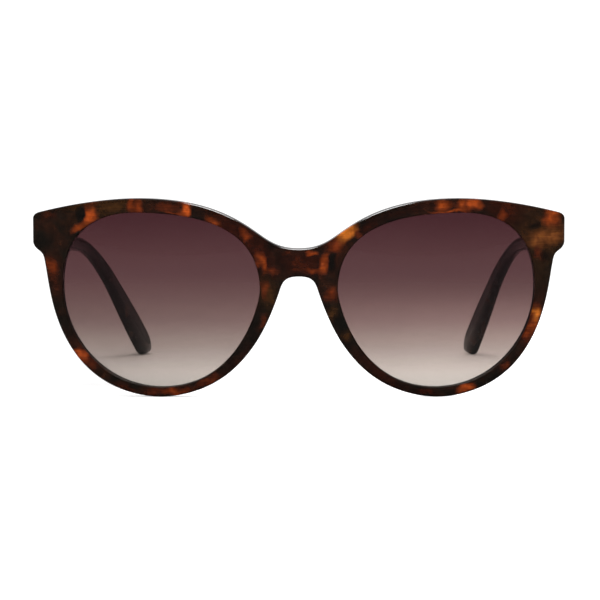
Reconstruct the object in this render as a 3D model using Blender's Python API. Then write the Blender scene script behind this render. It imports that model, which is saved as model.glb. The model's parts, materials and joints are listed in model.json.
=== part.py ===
"""Cat eye sunglasses with an acetate front, gradient lenses and five-barrel hinges.

Lengths in this file are millimetres and angles are degrees; every mesh is scaled by MM when it is
written, so the scene is in metres with +Z up. The glasses stand on their rims and temple tips, the
front faces -Y, and right means +X. The origin is under the middle of the bounding box.

The front is drawn flat, as (u, v, w): u across, v up from the bottom of the rims, w back from the
front face. bend() wraps that sheet to its base curve and tilts it, and the lenses follow it too.
Everything that belongs to a hinge is drawn in the hinge's frame: X outwards from the pin, Y back
along the temple, Z up the pin.
"""

import math

import bmesh
import bpy
from mathutils import Matrix, Vector
from mathutils.geometry import interpolate_bezier

MM = 0.001

# The front sheet
FRONT_THICKNESS = 4.0
WRAP_RADIUS = 320.0
FACE_RADIUS = 700.0
FACE_CENTRE_V = 26.0
FRONT_TILT = 3.0
RIM_LIFT = 0.22
EDGE_ROUND = 0.8
LIP_ROUND = 0.45

# Lens and groove
LIP_DEPTH = 1.1
GROOVE_DEPTH = 0.7
GROOVE_WIDTH = 1.0
BACK_FLARE = 0.35
LENS_CLEARANCE = 0.08
LENS_THICKNESS = 1.8
LENS_BULGE = 1.2

# Hinge
HINGE_X = 63.4
HINGE_Y = 13.9
HINGE_Z = 43.3
TEMPLE_SLOPE = 5.5
MITRE_Y = -1.9
MITRE_GAP = 0.08
BARREL_RADIUS = 1.5
BORE_RADIUS = 0.76
SCREW_RADIUS = 0.70
SCREW_HEAD_RADIUS = 1.15
SCREW_HEAD_HEIGHT = 0.5
SCREW_SLOT_WIDTH = 0.3
WASHER_RADIUS = 1.4
LEAF_THICKNESS = 1.0
LEAF_CORNER = 0.8
WEB_HALF_WIDTH = 1.1
WEB_INSET = 0.02
POCKET_GAP = 0.05
FRONT_LEAF_INNER_X = -2.6
FRONT_LEAF_OUTER_X = 4.2
FRONT_LEAF_HALF_HEIGHT = 3.7
TEMPLE_LEAF_START_Y = -1.2
TEMPLE_LEAF_END_Y = 7.2
TEMPLE_LEAF_HALF_HEIGHT = 3.0
FOOT_START_Y = 2.0
FOOT_END_Y = 9.0
FOOT_DEPTH = 1.5
FOOT_HALF_HEIGHT = 1.3
# Up the pin: the barrels, and the washers between them in wider gaps
FRONT_BARRELS = ((-3.25, -2.05), (-0.45, 0.65), (2.05, 3.25))
TEMPLE_BARRELS = ((-1.65, -0.55), (0.75, 1.65))
WASHERS = {"lower": (-1.97, -1.73), "upper": (1.73, 1.97)}

# End-piece lug behind the front
LUG_FRONT_Y = -7.2
LUG_INNER_X = -3.4
LUG_BOTTOM_Z = -4.2
LUG_TOP_Z = 3.9
LUG_BEVEL = 0.9

# Temple
TEMPLE_INNER_X = 1.9
TEMPLE_THICKNESS = 4.0
WAIST_THICKNESS = 2.95
TIP_THICKNESS = 3.6
TEMPLE_FRONT_HEIGHT = 8.4
TEMPLE_WAIST_HEIGHT = 4.0
TIP_HEIGHT = 8.8
ELBOW_Y = 97.0
ELBOW_Z = -0.2
ELBOW_RADIUS = 44.0
TIP_DROP = 42.0
TIP_LENGTH = 44.23
BEND_END_Y = 110.0
TEMPLE_BEND = {"right": (9.7, 3.6), "left": (12.5, 3.9)}
TEMPLE_EDGE_ROUND = 1.2
TIP_EDGE_ROUND = 1.45
RELIEF_LENGTH = 30.0
RELIEF_CORNER = (2.6, 4.4)
TIP_THINNING = 0.35

# Core wire inside each temple
WIRE_THICKNESS = 1.2
WIRE_HEIGHT_FRONT = 2.2
WIRE_HEIGHT_TIP = 1.4
WIRE_START = 11.0
WIRE_TIP_MARGIN = 9.0
WIRE_CORNER = 0.25
CHANNEL_LEAD = 1.5
CHANNEL_END_GAP = 0.1

# Nose pads: where the pad's middle line starts and ends on the back of the rim
PAD_LOWER = (10.7, 17.4)
PAD_UPPER = (7.1, 28.6)
PAD_LENGTH = 14.6
PAD_WIDTH = 2.9
PAD_DEPTH = 4.2
PAD_SPLAY = 0.5
PAD_GAP = 0.05

# Right half of the outline, clockwise from the top of the bridge to the nose arch:
# (u, v, heading, handle in, handle out)
HALF_OUTLINE = (
    (0.0, 39.35, 0.0, 0.0, 6.8),
    (14.3, 45.7, 31.2, 6.3, 5.7),
    (41.2, 52.3, 0.0, 14.2, 8.6),
    (68.4, 48.33, -15.2, 8.9, 0.9),
    (70.0, 46.6, -90.0, 0.9, 2.0),
    (70.0, 40.6, -90.0, 2.0, 0.9),
    (68.8, 38.5, -145.0, 0.5, 1.2),
    (67.16, 36.5, -104.3, 0.9, 5.0),
    (57.6, 9.4, -130.2, 12.6, 10.2),
    (36.7, 0.0, 180.0, 4.9, 5.2),
    (15.2, 9.5, 132.3, 10.4, 5.4),
    (5.4, 27.2, 109.2, 9.6, 3.1),
    (0.0, 32.07, 180.0, 4.3, 0.0),
)
HALF_OUTLINE_STEPS = (4, 6, 6, 3, 2, 3, 2, 8, 7, 7, 6, 4)

# Edge of the right lens opening, clockwise from its top
LENS_OPENING = (
    (42.1, 48.6, 0.0, 17.7, 11.9),
    (62.1, 29.0, -90.0, 13.8, 14.7),
    (36.4, 2.6, 180.0, 14.1, 21.5),
    (10.2, 28.4, 90.0, 2.3, 15.9),
)
LENS_STEPS = (12, 12, 12, 12)
LENS_CENTRE = (36.5, 25.6)

TORTOISE = (0.085, 0.030, 0.014)
TEMPLE_BROWN = (0.030, 0.017, 0.012)
LENS_BROWN = (0.13, 0.06, 0.065)
STEEL = (0.62, 0.60, 0.57)
NYLON = (0.75, 0.73, 0.68)


def clear_scene():
    for obj in list(bpy.data.objects):
        bpy.data.objects.remove(obj)


def material(name, colour, roughness, metallic=0.0, alpha=1.0):
    made = bpy.data.materials.new(name)
    made.use_nodes = True
    shader = made.node_tree.nodes["Principled BSDF"]
    shader.inputs["Base Color"].default_value = (*colour, 1.0)
    shader.inputs["Roughness"].default_value = roughness
    shader.inputs["Metallic"].default_value = metallic
    shader.inputs["Alpha"].default_value = alpha
    made.diffuse_color = (*colour, alpha)
    return made


def empty(name, parent=None, matrix=None):
    made = bpy.data.objects.new(name, None)
    bpy.context.collection.objects.link(made)
    made.empty_display_size = 5 * MM
    made.parent = parent
    if matrix is not None:
        made.matrix_local = matrix
    return made


def finish(bm, name, parent=None, look=None):
    """Turns a bmesh drawn in millimetres into an object in metres."""
    bmesh.ops.recalc_face_normals(bm, faces=bm.faces)
    bmesh.ops.scale(bm, vec=(MM, MM, MM), verts=bm.verts)
    mesh = bpy.data.meshes.new(name)
    bm.to_mesh(mesh)
    bm.free()
    mesh.shade_smooth()
    mesh.set_sharp_from_angle(angle=math.radians(35))
    if look is not None:
        mesh.materials.append(look)
    made = bpy.data.objects.new(name, mesh)
    bpy.context.collection.objects.link(made)
    made.parent = parent
    return made


def boolean(obj, other, operation):
    modifier = obj.modifiers.new(operation.lower() + "_" + other.name, "BOOLEAN")
    modifier.object = other
    modifier.operation = operation
    modifier.solver = "EXACT"
    other.hide_render = True
    other.display_type = "WIRE"


def polar(angle):
    return Vector((math.cos(math.radians(angle)), math.sin(math.radians(angle))))


def curve_points(knots, steps, closed):
    """Points along cubic Bezier spans between the knots; an open curve keeps its last point."""
    points = []
    for i, count in enumerate(steps):
        a = knots[i]
        b = knots[(i + 1) % len(knots)]
        start = Vector(a[:2])
        end = Vector(b[:2])
        span = interpolate_bezier(
            start, start + polar(a[2]) * a[4], end - polar(b[2]) * b[3], end, count + 1
        )
        points.extend(Vector((p[0], p[1])) for p in span[:-1])
    if not closed:
        points.append(Vector(knots[-1][:2]))
    return points


def outline_points():
    """The whole outline of the front, clockwise from the top of the bridge."""
    half = curve_points(HALF_OUTLINE, HALF_OUTLINE_STEPS, False)
    mirrored = [Vector((-p.x, p.y)) for p in reversed(half[1:-1])]
    return half + mirrored


def opening_points(side):
    points = curve_points(LENS_OPENING, LENS_STEPS, True)
    if side > 0:
        return points
    return [Vector((-p.x, p.y)) for p in reversed(points)]


def grown(points, distance):
    """A clockwise closed outline moved outwards by a distance."""
    moved = []
    for i, point in enumerate(points):
        along = (points[(i + 1) % len(points)] - points[i - 1]).normalized()
        moved.append(point + Vector((-along.y, along.x)) * distance)
    return moved


def sheet_depth(u, v):
    return u * u / (2 * WRAP_RADIUS) + (v - FACE_CENTRE_V) ** 2 / (2 * FACE_RADIUS)


def bend(u, v, w):
    """The place of a point of the flat sheet on the wrapped and tilted front."""
    slope = Vector((-u / WRAP_RADIUS, 1.0, -(v - FACE_CENTRE_V) / FACE_RADIUS)).normalized()
    point = Vector((u, sheet_depth(u, v), v)) + slope * w
    tilt = Matrix.Rotation(math.radians(FRONT_TILT), 3, "X")
    return tilt @ point - Vector((0, 0, RIM_LIFT))


def loop_of(bm, points, w):
    return [bm.verts.new((p.x, p.y, w)) for p in points]


def wall(bm, first, second):
    count = len(first)
    for i in range(count):
        j = (i + 1) % count
        bm.faces.new((first[i], first[j], second[j], second[i]))


def loop_edges(bm, loop):
    found = []
    for i, vert in enumerate(loop):
        after = loop[(i + 1) % len(loop)]
        edge = bm.edges.get((vert, after))
        found.append(edge or bm.edges.new((vert, after)))
    return found


def cap(bm, loops):
    """Fills a flat face whose first loop is its outer edge and whose others are holes."""
    edges = []
    for loop in loops:
        edges.extend(loop_edges(bm, loop))
    bmesh.ops.triangle_fill(bm, edges=edges, use_beauty=True)


def bend_all(bm):
    for vert in bm.verts:
        vert.co = bend(*vert.co)


def arc_profile(radius, thickness, steps):
    """(inset, w) pairs round the front and back edges of a plate."""
    quarter = [90.0 * i / steps for i in range(steps + 1)]
    front = [
        (radius * (1 - math.sin(math.radians(a))), radius * (1 - math.cos(math.radians(a))))
        for a in quarter
    ]
    back = [(inset, thickness - w) for inset, w in reversed(front)]
    return front + back


def front_plate(look, parent):
    bm = bmesh.new()
    outline = outline_points()
    outer = [
        loop_of(bm, grown(outline, -inset), w)
        for inset, w in arc_profile(EDGE_ROUND, FRONT_THICKNESS, 3)
    ]
    for first, second in zip(outer, outer[1:]):
        wall(bm, first, second)
    lip = arc_profile(LIP_ROUND, FRONT_THICKNESS, 2)
    half = len(lip) // 2
    groove = [
        (0.0, LIP_DEPTH),
        (GROOVE_DEPTH, LIP_DEPTH + GROOVE_WIDTH / 2),
        (0.0, LIP_DEPTH + GROOVE_WIDTH),
    ]
    flared = [(out + BACK_FLARE, w) for out, w in lip[half:]]
    fronts = [outer[0]]
    backs = [outer[-1]]
    for side in (1, -1):
        opening = opening_points(side)
        loops = [
            loop_of(bm, grown(opening, out), w)
            for out, w in lip[:half] + groove + flared
        ]
        for first, second in zip(loops, loops[1:]):
            wall(bm, first, second)
        fronts.append(loops[0])
        backs.append(loops[-1])
    cap(bm, fronts)
    cap(bm, backs)
    bend_all(bm)
    return finish(bm, "front_frame", parent, look)


def lens(name, side, look, parent):
    """A gently domed lens whose ridged edge sits in the rim's groove."""
    bm = bmesh.new()
    opening = opening_points(side)
    centre = Vector((side * LENS_CENTRE[0], LENS_CENTRE[1]))
    ridge_w = LIP_DEPTH + GROOVE_WIDTH / 2
    front_w = ridge_w - LENS_THICKNESS / 2
    back_w = ridge_w + LENS_THICKNESS / 2
    ridge_half = GROOVE_WIDTH / 2
    profile = [
        (-LENS_CLEARANCE, front_w),
        (-LENS_CLEARANCE, ridge_w - ridge_half),
        (GROOVE_DEPTH - 2 * LENS_CLEARANCE, ridge_w),
        (-LENS_CLEARANCE, ridge_w + ridge_half),
        (-LENS_CLEARANCE, back_w),
    ]
    rims = [loop_of(bm, grown(opening, out), w) for out, w in profile]
    for first, second in zip(rims, rims[1:]):
        wall(bm, first, second)
    for rim in (rims[0], rims[-1]):
        outer = rim
        for share in (0.75, 0.5, 0.25):
            ring = []
            for vert in rim:
                place = centre + (Vector(vert.co[:2]) - centre) * share
                lift = LENS_BULGE * (1 - share * share)
                ring.append(bm.verts.new((place.x, place.y, vert.co.z - lift)))
            wall(bm, outer, ring)
            outer = ring
        pole = bm.verts.new((centre.x, centre.y, rim[0].co.z - LENS_BULGE))
        for i, vert in enumerate(outer):
            bm.faces.new((vert, outer[(i + 1) % len(outer)], pole))
    bend_all(bm)
    return finish(bm, name, parent, look)


def nose_pad(name, side, look, parent):
    """An almond-shaped pad on the back of the rim, crowned and splayed away from the nose."""
    bm = bmesh.new()
    lower = Vector(PAD_LOWER)
    upper = Vector(PAD_UPPER)
    centre = (lower + upper) / 2
    along = (upper - lower).normalized()
    across = Vector((along.y, -along.x))
    base_w = FRONT_THICKNESS + PAD_GAP
    count = 20
    rings = []
    for depth, share in ((0.0, 1.0), (0.45, 1.0), (0.75, 0.86), (0.93, 0.62), (1.0, 0.3)):
        ring = []
        for i in range(count):
            angle = 2 * math.pi * i / count
            place = centre + along * (PAD_LENGTH / 2 * share * math.cos(angle))
            place = place + across * (PAD_WIDTH / 2 * share * math.sin(angle))
            ring.append(
                bm.verts.new(
                    (side * (place.x + PAD_SPLAY * depth), place.y, base_w + PAD_DEPTH * depth)
                )
            )
        rings.append(ring)
    for first, second in zip(rings, rings[1:]):
        wall(bm, first, second)
    bm.faces.new(rings[0])
    bm.faces.new(rings[-1])
    bend_all(bm)
    return finish(bm, name, parent, look)


def block(bm, low, high):
    """A box between two corners."""
    made = bmesh.ops.create_cube(bm, size=1.0)["verts"]
    middle = (Vector(low) + Vector(high)) / 2
    size = Vector(high) - Vector(low)
    bmesh.ops.scale(bm, vec=size, verts=made)
    bmesh.ops.translate(bm, vec=middle, verts=made)
    return made


def flipped(bm, side):
    """Mirrors a shape drawn for the right hinge to the left one."""
    if side < 0:
        bmesh.ops.scale(bm, vec=(-1, 1, 1), verts=bm.verts)
        bmesh.ops.reverse_faces(bm, faces=bm.faces)


def disc(bm, radius, low, high, segments=24):
    made = bmesh.ops.create_cone(
        bm, cap_ends=True, segments=segments, radius1=radius, radius2=radius, depth=high - low
    )["verts"]
    bmesh.ops.translate(bm, vec=(0, 0, (low + high) / 2), verts=made)


def lug(side, parent):
    """The end-piece block that carries the hinge, cut square to the temple at the mitre."""
    bm = bmesh.new()
    outer = TEMPLE_INNER_X + TEMPLE_THICKNESS
    block(bm, (LUG_INNER_X, LUG_FRONT_Y, LUG_BOTTOM_Z), (outer, MITRE_Y, LUG_TOP_Z))
    edges = [e for e in bm.edges if abs(e.verts[0].co.y - e.verts[1].co.y) > 1.0]
    bmesh.ops.bevel(bm, geom=edges, offset=LUG_BEVEL, segments=3, affect="EDGES")
    flipped(bm, side)
    return finish(bm, "lug_" + ("right" if side > 0 else "left"), parent)


def front_leaf_pocket(side, parent):
    bm = bmesh.new()
    deep = MITRE_Y - LEAF_THICKNESS - POCKET_GAP
    block(
        bm,
        (FRONT_LEAF_INNER_X - POCKET_GAP, deep, -FRONT_LEAF_HALF_HEIGHT - POCKET_GAP),
        (FRONT_LEAF_OUTER_X + POCKET_GAP, MITRE_Y + 1.0, FRONT_LEAF_HALF_HEIGHT + POCKET_GAP),
    )
    flipped(bm, side)
    return finish(bm, "front_pocket_" + ("right" if side > 0 else "left"), parent)


def piece(name, side, parent, draw, look=None):
    """An object drawn by a function for the right side and mirrored for the left."""
    bm = bmesh.new()
    draw(bm)
    flipped(bm, side)
    return finish(bm, name, parent, look)


def round_corners(bm, axis):
    """Rounds the corners of a leaf plate, seen along the axis across its thickness."""
    edges = [e for e in bm.edges if abs(e.verts[0].co[axis] - e.verts[1].co[axis]) > 0.5]
    bmesh.ops.bevel(bm, geom=edges, offset=LEAF_CORNER, segments=2, affect="EDGES")


def add_knuckles(leaf, spans, web, side, parent):
    """Joins a drum on the pin, and the web that carries it, to the leaf for each span up the pin."""
    (near_x, near_y), (far_x, far_y) = web
    for index, (low, high) in enumerate(spans):

        def drum(bm, low=low, high=high):
            disc(bm, BARREL_RADIUS, low, high)

        def arm(bm, low=low, high=high):
            block(bm, (near_x, near_y, low + WEB_INSET), (far_x, far_y, high - WEB_INSET))

        for part, draw in (("drum", drum), ("web", arm)):
            name = part + "_" + str(index) + "_" + leaf.name
            boolean(leaf, piece(name, side, parent, draw), "UNION")

    def bore(bm):
        disc(bm, BORE_RADIUS, -5.0, 5.0, 20)

    boolean(leaf, piece("bore_" + leaf.name, side, parent, bore), "DIFFERENCE")


def front_hinge(side, label, look, parent):
    def plate(bm):
        block(
            bm,
            (FRONT_LEAF_INNER_X, MITRE_Y - LEAF_THICKNESS, -FRONT_LEAF_HALF_HEIGHT),
            (FRONT_LEAF_OUTER_X, MITRE_Y, FRONT_LEAF_HALF_HEIGHT),
        )
        round_corners(bm, 1)

    made = piece("hinge_front_" + label, side, parent, plate, look)
    web = ((-WEB_HALF_WIDTH, MITRE_Y - LEAF_THICKNESS / 2), (WEB_HALF_WIDTH, -0.1))
    add_knuckles(made, FRONT_BARRELS, web, side, parent)
    return made


def temple_hinge(side, label, look, parent):
    inner = TEMPLE_INNER_X

    def plate(bm):
        block(
            bm,
            (inner, TEMPLE_LEAF_START_Y, -TEMPLE_LEAF_HALF_HEIGHT),
            (inner + LEAF_THICKNESS, TEMPLE_LEAF_END_Y, TEMPLE_LEAF_HALF_HEIGHT),
        )
        round_corners(bm, 0)

    def foot(bm):
        block(
            bm,
            (inner + LEAF_THICKNESS / 2, FOOT_START_Y, -FOOT_HALF_HEIGHT),
            (inner + LEAF_THICKNESS + FOOT_DEPTH, FOOT_END_Y, FOOT_HALF_HEIGHT),
        )

    made = piece("hinge_temple_" + label, side, parent, plate, look)
    boolean(made, piece("foot_" + label, side, parent, foot), "UNION")
    web = ((0.1, -WEB_HALF_WIDTH), (inner + LEAF_THICKNESS / 2, WEB_HALF_WIDTH))
    add_knuckles(made, TEMPLE_BARRELS, web, side, parent)
    return made


def hinge_screw(label, look, parent):
    """A shank with a round head above the top barrel and a screwdriver slot in the head."""
    bm = bmesh.new()
    bottom = FRONT_BARRELS[0][0]
    top = FRONT_BARRELS[-1][1] + POCKET_GAP
    profile = [
        (0.0, bottom),
        (SCREW_RADIUS, bottom),
        (SCREW_RADIUS, top),
        (SCREW_HEAD_RADIUS, top),
        (SCREW_HEAD_RADIUS, top + SCREW_HEAD_HEIGHT * 0.6),
        (SCREW_HEAD_RADIUS * 0.8, top + SCREW_HEAD_HEIGHT),
        (0.0, top + SCREW_HEAD_HEIGHT),
    ]
    turned(bm, profile, 20)
    made = finish(bm, "hinge_screw_" + label, parent, look)
    slot = bmesh.new()
    block(
        slot,
        (-2.0, -SCREW_SLOT_WIDTH / 2, top + SCREW_HEAD_HEIGHT * 0.4),
        (2.0, SCREW_SLOT_WIDTH / 2, top + SCREW_HEAD_HEIGHT + 1.0),
    )
    boolean(made, finish(slot, "slot_" + label, parent), "DIFFERENCE")
    return made


def turned(bm, profile, segments):
    """A solid of revolution about Z; a profile that starts and ends on the axis is closed."""
    rings = []
    for radius, z in profile:
        if radius == 0.0:
            rings.append([bm.verts.new((0, 0, z))])
            continue
        rings.append(
            [
                bm.verts.new((radius * math.cos(a), radius * math.sin(a), z))
                for a in (2 * math.pi * i / segments for i in range(segments))
            ]
        )
    for first, second in zip(rings, rings[1:]):
        for i in range(segments):
            j = (i + 1) % segments
            if len(first) == 1:
                bm.faces.new((first[0], second[j], second[i]))
            elif len(second) == 1:
                bm.faces.new((first[i], first[j], second[0]))
            else:
                bm.faces.new((first[i], first[j], second[j], second[i]))


def washer(label, which, look, parent):
    bm = bmesh.new()
    low, high = WASHERS[which]
    segments = 24
    rings = []
    for radius, z in (
        (WASHER_RADIUS, low),
        (WASHER_RADIUS, high),
        (BORE_RADIUS, high),
        (BORE_RADIUS, low),
    ):
        rings.append(
            [
                bm.verts.new((radius * math.cos(a), radius * math.sin(a), z))
                for a in (2 * math.pi * i / segments for i in range(segments))
            ]
        )
    for first, second in zip(rings, rings[1:] + rings[:1]):
        wall(bm, first, second)
    return finish(bm, "hinge_washer_" + which + "_" + label, parent, look)


def temple_path(distance):
    """Centre and heading of the temple, in the hinge's YZ plane, this far from the mitre."""
    start_y = MITRE_Y + MITRE_GAP
    rise = math.atan2(ELBOW_Z, ELBOW_Y - start_y)
    tangent = ELBOW_RADIUS * math.tan(math.radians(TIP_DROP) / 2)
    straight = math.hypot(ELBOW_Y - start_y, ELBOW_Z) - tangent
    arc = ELBOW_RADIUS * math.radians(TIP_DROP)
    if distance <= straight:
        heading = rise
        place = Vector((start_y, 0)) + Vector((math.cos(rise), math.sin(rise))) * distance
        return place, heading
    turned_by = min((distance - straight) / ELBOW_RADIUS, math.radians(TIP_DROP))
    corner = Vector((start_y, 0)) + Vector((math.cos(rise), math.sin(rise))) * straight
    heading = rise - turned_by
    middle = corner + ELBOW_RADIUS * Vector((math.sin(rise), -math.cos(rise)))
    place = middle + ELBOW_RADIUS * Vector((-math.sin(heading), math.cos(heading)))
    if distance > straight + arc:
        place = place + (distance - straight - arc) * Vector((math.cos(heading), math.sin(heading)))
    return place, heading


def temple_length():
    start_y = MITRE_Y + MITRE_GAP
    tangent = ELBOW_RADIUS * math.tan(math.radians(TIP_DROP) / 2)
    straight = math.hypot(ELBOW_Y - start_y, ELBOW_Z) - tangent
    return straight + ELBOW_RADIUS * math.radians(TIP_DROP) + TIP_LENGTH - tangent


def blend(a, b, share):
    share = max(0.0, min(1.0, share))
    share = share * share * (3 - 2 * share)
    return a + (b - a) * share


def temple_height(distance):
    waist = ELBOW_Y - 8.0
    if distance < waist:
        return blend(TEMPLE_FRONT_HEIGHT, TEMPLE_WAIST_HEIGHT, distance / waist)
    return blend(TEMPLE_WAIST_HEIGHT, TIP_HEIGHT, (distance - waist) / (temple_length() - waist - 8.0))


def temple_thickness(distance):
    waist = ELBOW_Y + 7.0
    if distance < waist:
        return blend(TEMPLE_THICKNESS, WAIST_THICKNESS, distance / waist)
    share = (distance - waist) / (temple_length() - waist - 8.0)
    return blend(WAIST_THICKNESS, TIP_THICKNESS, share)


def temple_side(y, label):
    """Middle of the temple, which bends in towards the ear and then runs straight."""
    travel, power = TEMPLE_BEND[label]
    bent = travel * max(0.0, min(1.0, y / BEND_END_Y)) ** power
    straight = travel * power * max(0.0, y / BEND_END_Y - 1)
    return TEMPLE_INNER_X + TEMPLE_THICKNESS / 2 - bent - straight


def section(bm, label, distance, half_thick, half_high, corner, steps=2, relief=0.0):
    """A rounded rectangle across the temple's path.

    Relief, from 0 to 1, eases its lower inner corner away from the head.
    """
    place, heading = temple_path(distance)
    up = Vector((-math.sin(heading), math.cos(heading)))
    x_middle = temple_side(place.x, label)
    low_outer = corner * (1 - 0.5 * relief)
    eased_x = min(corner + relief * (RELIEF_CORNER[0] - corner), 2 * half_thick - low_outer)
    eased_z = min(corner + relief * (RELIEF_CORNER[1] - corner), 2 * half_high - corner)
    ring = []
    for quarter, (sx, sz, rx, rz) in enumerate(
        (
            (1, 1, corner, corner),
            (-1, 1, corner, corner),
            (-1, -1, eased_x, eased_z),
            (1, -1, low_outer, low_outer),
        )
    ):
        for i in range(steps + 1):
            angle = math.radians(90.0 * (quarter + i / steps))
            x = sx * (half_thick - rx) + rx * math.cos(angle)
            z = sz * (half_high - rz) + rz * math.sin(angle)
            ring.append(bm.verts.new((x_middle + x, place.x + up.x * z, place.y + up.y * z)))
    return ring


def tip_relief(distance):
    """How far the lower inner corner is eased, growing to full at the end of the temple."""
    return blend(0.0, 1.0, 1 - (temple_length() - distance) / RELIEF_LENGTH)


def stations(start, end, count):
    return [start + (end - start) * i / count for i in range(count + 1)]


def temple_body(label, side, look, parent):
    bm = bmesh.new()
    length = temple_length()
    round_start = length - TIP_HEIGHT / 2
    rings = []
    for distance in stations(0.0, round_start, 26):
        half_thick = temple_thickness(distance) / 2
        half_high = temple_height(distance) / 2
        corner = blend(TEMPLE_EDGE_ROUND, TIP_EDGE_ROUND, distance / ELBOW_Y)
        relief = tip_relief(distance)
        rings.append(section(bm, label, distance, half_thick, half_high, corner, 2, relief))
    end_angles = (25.0, 50.0, 70.0, 84.0)
    for angle in end_angles:
        distance = round_start + TIP_HEIGHT / 2 * math.sin(math.radians(angle))
        half_high = TIP_HEIGHT / 2 * math.cos(math.radians(angle))
        half_thick = TIP_THICKNESS / 2 * (1 - TIP_THINNING * (angle / end_angles[-1]) ** 4)
        corner = min(TIP_EDGE_ROUND, half_high * 0.8, half_thick * 0.97)
        relief = tip_relief(distance)
        rings.append(section(bm, label, distance, half_thick, half_high, corner, 2, relief))
    for first, second in zip(rings, rings[1:]):
        wall(bm, first, second)
    bm.faces.new(rings[0])
    bm.faces.new(rings[-1])
    flipped(bm, side)
    return finish(bm, "temple_" + label, parent, look)


def wire_shape(label, side, name, grow, start, end, parent, look=None):
    bm = bmesh.new()
    rings = []
    for distance in stations(start, end, 18):
        share = (distance - start) / (end - start)
        half_high = (WIRE_HEIGHT_FRONT + (WIRE_HEIGHT_TIP - WIRE_HEIGHT_FRONT) * share) / 2 + grow
        half_thick = WIRE_THICKNESS / 2 + grow
        rings.append(section(bm, label, distance, half_thick, half_high, WIRE_CORNER, 1))
    for first, second in zip(rings, rings[1:]):
        wall(bm, first, second)
    bm.faces.new(rings[0])
    bm.faces.new(rings[-1])
    flipped(bm, side)
    return finish(bm, name, parent, look)


def temple_pockets(label, side, parent):
    """The recess for the leaf, the slot for its foot, and the channel for the wire."""

    def recess(bm):
        gap = POCKET_GAP
        block(
            bm,
            (TEMPLE_INNER_X - 1.0, MITRE_Y - 1.0, -TEMPLE_LEAF_HALF_HEIGHT - gap),
            (
                TEMPLE_INNER_X + LEAF_THICKNESS + gap,
                TEMPLE_LEAF_END_Y + gap,
                TEMPLE_LEAF_HALF_HEIGHT + gap,
            ),
        )

    def foot_slot(bm):
        gap = POCKET_GAP
        block(
            bm,
            (TEMPLE_INNER_X + LEAF_THICKNESS / 2, FOOT_START_Y - gap, -FOOT_HALF_HEIGHT - gap),
            (
                TEMPLE_INNER_X + LEAF_THICKNESS + FOOT_DEPTH + gap,
                FOOT_END_Y + gap,
                FOOT_HALF_HEIGHT + gap,
            ),
        )

    start = WIRE_START - CHANNEL_LEAD
    end = temple_length() - WIRE_TIP_MARGIN + CHANNEL_END_GAP
    return (
        piece("leaf_recess_" + label, side, parent, recess),
        piece("foot_slot_" + label, side, parent, foot_slot),
        wire_shape(label, side, "wire_channel_" + label, POCKET_GAP, start, end, parent),
    )


def hinge_frame(side):
    place = Matrix.Translation(Vector((side * HINGE_X, HINGE_Y, HINGE_Z)) * MM)
    return place @ Matrix.Rotation(math.radians(-TEMPLE_SLOPE), 4, "X")


def lowest_and_highest(objects):
    bpy.context.view_layer.update()
    graph = bpy.context.evaluated_depsgraph_get()
    corners = []
    for obj in objects:
        seen = obj.evaluated_get(graph)
        corners.extend(seen.matrix_world @ v.co for v in seen.data.vertices)
    low = Vector(min(c[i] for c in corners) for i in range(3))
    high = Vector(max(c[i] for c in corners) for i in range(3))
    return low, high


def build():
    clear_scene()
    looks = {
        "tortoise": material("tortoise_acetate", TORTOISE, 0.12),
        "temple": material("temple_acetate", TEMPLE_BROWN, 0.16),
        "lens": material("gradient_lens", LENS_BROWN, 0.03, alpha=0.6),
        "steel": material("hinge_steel", STEEL, 0.25, metallic=1.0),
        "nylon": material("washer_nylon", NYLON, 0.5),
    }
    glasses = empty("sunglasses")
    front = front_plate(looks["tortoise"], glasses)
    made = [front]
    for label, side in (("right", 1), ("left", -1)):
        hinge = empty("hinge_axis_" + label, glasses, hinge_frame(side))
        boolean(front, lug(side, hinge), "UNION")
        boolean(front, front_leaf_pocket(side, hinge), "DIFFERENCE")
        made.append(lens("lens_" + label, side, looks["lens"], glasses))
        made.append(nose_pad("nose_pad_" + label, side, looks["tortoise"], glasses))
        made.append(front_hinge(side, label, looks["steel"], hinge))
        made.append(temple_hinge(side, label, looks["steel"], hinge))
        made.append(hinge_screw(label, looks["steel"], hinge))
        for which in WASHERS:
            made.append(washer(label, which, looks["nylon"], hinge))
        temple = temple_body(label, side, looks["temple"], hinge)
        for pocket in temple_pockets(label, side, hinge):
            boolean(temple, pocket, "DIFFERENCE")
        made.append(temple)
        wire_end = temple_length() - WIRE_TIP_MARGIN
        wire = wire_shape(
            label, side, "core_wire_" + label, 0.0, WIRE_START, wire_end, hinge, looks["steel"]
        )
        made.append(wire)
    low, high = lowest_and_highest(made)
    glasses.location = Vector((-(low.x + high.x) / 2, -(low.y + high.y) / 2, -low.z))
    bpy.context.view_layer.update()


build()
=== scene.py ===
"""Looks of the cat eye sunglasses: fine meshes and procedural materials round the CAD frame.

Lengths in this file are millimetres and angles are degrees; a mesh is scaled by MM when it is
written. The front is drawn flat as (u, v, w): u across, v up from the bottom of the rims, w back
from the front face, and is then wrapped and tilted. Hinges and temples are drawn in the hinge's
frame: X outwards from the pin, Y back along the temple, Z up the pin. The two hinge pins of the
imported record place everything.
"""

import json
import math

import bmesh
import bpy
from mathutils import Matrix, Vector
from mathutils.geometry import interpolate_bezier


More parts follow.
